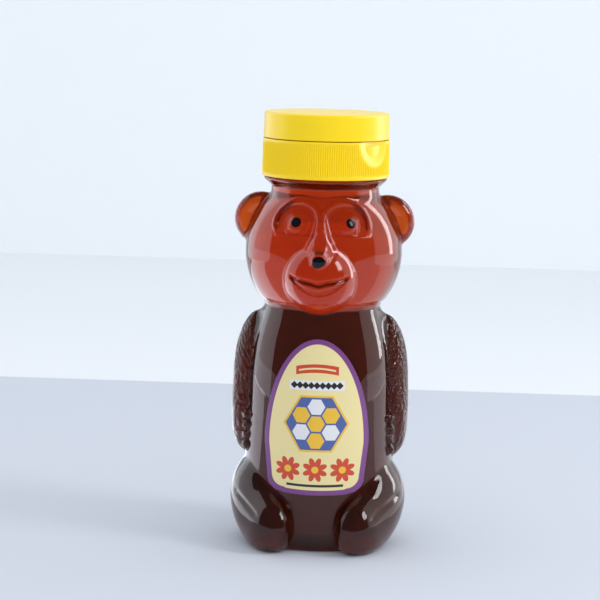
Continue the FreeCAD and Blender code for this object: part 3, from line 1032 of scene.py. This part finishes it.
def turned_home(thing):
    """A piece of the cap turned to where the cap stops on the neck."""
    thing.data.transform(Matrix.Rotation(CAP_TURN, 4, "Z"))
    return thing


def make_cap():
    """The screw cap: skirt, deck, snap ring, spout and sleeve as one turned outline."""
    snap_in, snap_out, snap_tall = SNAP_RING
    spout_foot, spout_tip, spout_bore = SPOUT
    bore, sleeve, sleeve_end = SLEEVE
    bottom, parting = CAP_RADIUS
    corners = [
        (bottom, CAP_BOTTOM),
        (parting, PARTING),
        (snap_out, PARTING),
        (snap_out, PARTING + snap_tall),
        (snap_in, PARTING + snap_tall),
        (snap_in, PARTING),
        (spout_foot, PARTING),
        (spout_tip, SPOUT_TOP),
        (spout_bore, SPOUT_TOP),
        (spout_bore, DECK_UNDERSIDE),
        (bore, DECK_UNDERSIDE),
        (bore, sleeve_end),
        (sleeve, sleeve_end),
        (sleeve, DECK_UNDERSIDE),
        (parting - SKIRT_WALL, DECK_UNDERSIDE),
        (bottom - SKIRT_WALL, CAP_BOTTOM),
    ]
    profile = rounded(corners, CAP_ROUNDING)
    profile = split_rows(profile, CORNER_STEPS, CAP_STEP)
    vertices, quads = lathe(profile, CAP_COLUMNS, skirt_shape)
    cap = turned_home(new_object("screw_cap", vertices, quads, [cap_yellow], sharp=50))
    return stand_for(cap, "cap_base", "cap")


def make_lid():
    """The lid and the plug under it as one turned outline."""
    plug_in, plug_tip, plug_out, plug_end = PLUG
    bottom, top = LID_RADIUS
    ceiling = LID_TOP - LID_WALL
    corners = [
        (bottom, LID_BOTTOM),
        (top, LID_TOP),
        (AXIS_RADIUS, LID_TOP),
        (AXIS_RADIUS, ceiling),
        (plug_in, ceiling),
        (plug_in, plug_end),
        (plug_tip, plug_end),
        (plug_out, SPOUT_TOP),
        (plug_out, ceiling),
        (top - LID_WALL, ceiling),
        (bottom - LID_WALL, LID_BOTTOM),
    ]
    profile = rounded(corners, LID_ROUNDING)
    profile = split_rows(profile, CORNER_STEPS, CAP_STEP)
    vertices, quads = lathe(profile, LID_COLUMNS, lid_shape)
    lid = turned_home(new_object("flip_top", vertices, quads, [cap_yellow], sharp=50))
    return stand_for(lid, "flip_lid", "lid")


def make_hinge():
    """The thin web between cap and lid, rolled outwards about the parting line."""
    around, across = HINGE_POINTS
    rows = []
    for radius, order in ((HINGE_WEB[0], 1), (HINGE_WEB[1], -1)):
        for angle in np.linspace(-math.pi / 2, math.pi / 2, around)[::order]:
            rows.append((HINGE_BACK + radius * math.cos(angle), HINGE_HEIGHT + radius * math.sin(angle)))
    xs = np.linspace(-HINGE_HALF, HINGE_HALF, across)
    vertices = [(x, y, z) for y, z in rows for x in xs]
    quads = grid_quads(len(rows), len(xs), True, False).tolist()
    ends = [[row * len(xs) + column for row in range(len(rows))] for column in (0, len(xs) - 1)]
    quads += [ends[0], ends[1][::-1]]
    web = turned_home(new_object("hinge_web", vertices, quads, [cap_yellow]))
    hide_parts("living_hinge")
    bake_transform(web)


def paint_cad_node(name, material):
    """Gives a material to a piece of the frame whose shape is shown as it is."""
    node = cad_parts[name]
    node.data.materials.clear()
    node.data.materials.append(material)
    node.data.shade_smooth()
    node.data.set_sharp_from_angle(angle=math.radians(35))


# The room: a sheet of paper on a pale table before a pale wall, with bright panels at both sides


def flat_sheet(name, corners, colour):
    """One four-sided sheet of the room."""
    paper = principled(name, colour, 0.9)
    new_object(name, corners, [(0, 1, 2, 3)], [paper], scale=1.0)


def make_room():
    """Paper with a slightly skew far edge, the table under it and the wall behind it."""
    edge, skew = 0.3, 0.01
    corners = [(-1, -edge, 0), (1, -edge, 0), (1, edge + skew, 0), (-1, edge - skew, 0)]
    flat_sheet("paper", corners, PAPER)
    near, far, wide, tall, drop = -0.4, 0.82, 1.6, 1.6, -0.002
    corners = [(-wide, near, drop), (wide, near, drop), (wide, far, drop), (-wide, far, drop)]
    flat_sheet("table", corners, TABLE)
    corners = [(-wide, far, drop), (wide, far, drop), (wide, far, tall), (-wide, far, tall)]
    flat_sheet("wall", corners, BACKDROP)


def panel(name, place, target, size, brightness, colour=(1, 1, 1), mirrored_only=False):
    """A lit rectangle of one brightness, whatever its size. It may show only in reflections."""
    light = bpy.data.lights.new(name, "AREA")
    light.shape = "RECTANGLE"
    light.size, light.size_y = size
    light.energy = brightness * math.pi * size[0] * size[1]
    light.color = colour
    lamp = bpy.data.objects.new(name, light)
    lamp.location = place
    lamp.rotation_euler = (Vector(target) - Vector(place)).to_track_quat("-Z", "Y").to_euler()
    lamp.visible_transmission = False
    lamp.visible_diffuse = not mirrored_only
    lamp.visible_camera = False
    bpy.context.scene.collection.objects.link(lamp)


def make_lights():
    """Panels that show in reflections, a window that lights the bear, and the light of the room."""
    (x, y, z), size = SIDE_PANEL
    left, right = SIDE_BRIGHTNESS
    panel("left_side", (-x, y, z), (0, y, z), size, left, COOL, True)
    panel("right_side", (x, y, z), (0, y, z), size, right, WARM, True)
    (x, y, z), size = FLOOR_PANEL
    left, right = FLOOR_BRIGHTNESS
    panel("left_floor", (-x, y, z), (-x, y, 1), size, left, COOL, True)
    panel("right_floor", (x, y, z), (x, y, 1), size, right, WARM, True)
    panel("right_strip", *STRIP_LAMP, mirrored_only=True)
    panel("window", *WINDOW_LAMP)
    light_room()


def light_room():
    """Even light from all sides, dimmer where it is seen in reflections."""
    world = bpy.data.worlds.new("room")
    bpy.context.scene.world = world
    world.use_nodes = True
    nodes, links = world.node_tree.nodes, world.node_tree.links
    path = nodes.new("ShaderNodeLightPath")
    level = nodes.new("ShaderNodeMapRange")
    level.inputs["To Min"].default_value = ROOM_LIGHT
    level.inputs["To Max"].default_value = ROOM_MIRRORED
    links.new(path.outputs["Is Glossy Ray"], level.inputs["Value"])
    nodes["Background"].inputs["Color"].default_value = (*SKY, 1)
    links.new(level.outputs[0], nodes["Background"].inputs["Strength"])


def make_camera():
    """The camera at the photograph's viewing angle."""
    lens = bpy.data.cameras.new("camera")
    lens.sensor_width = CAMERA_SENSOR
    lens.lens = CAMERA_LENS
    camera = bpy.data.objects.new("camera", lens)
    side = math.radians(CAMERA_SIDE)
    x, y = CAMERA_DISTANCE * math.sin(side), -CAMERA_DISTANCE * math.cos(side)
    camera.location = (x, y, CAMERA_HEIGHT)
    yaw = Matrix.Rotation(math.radians(CAMERA_YAW), 3, "Z")
    pitch = Matrix.Rotation(math.radians(90 - CAMERA_PITCH), 3, "X")
    roll = Matrix.Rotation(math.radians(CAMERA_ROLL), 3, "Z")
    camera.rotation_euler = (yaw @ pitch @ roll).to_euler()
    bpy.context.scene.collection.objects.link(camera)
    bpy.context.scene.camera = camera


def main():
    """Makes every piece, then the room, its light and the camera."""
    make_bottle()
    make_thread()
    # Painted light: the head holds a lit copy of the honey and the body holds a shaded copy.
    make_honey("head_honey", honey_painted_lit, WAIST - HONEY_LAP, FILL_HEIGHT)
    make_honey("body_honey", honey_painted_shade, 0, WAIST)
    make_label()
    make_cap()
    make_lid()
    make_hinge()
    for name in ("right_eye_print", "left_eye_print", "nose_print"):
        paint_cad_node(name, ink_black)
    paint_cad_node("cap_liner", liner_white)
    make_room()
    make_lights()
    make_camera()
    scene = bpy.context.scene
    scene.view_settings.view_transform = "Standard"
    scene.cycles.transmission_bounces = LIGHT_BOUNCES
    scene.cycles.max_bounces = LIGHT_BOUNCES


main()
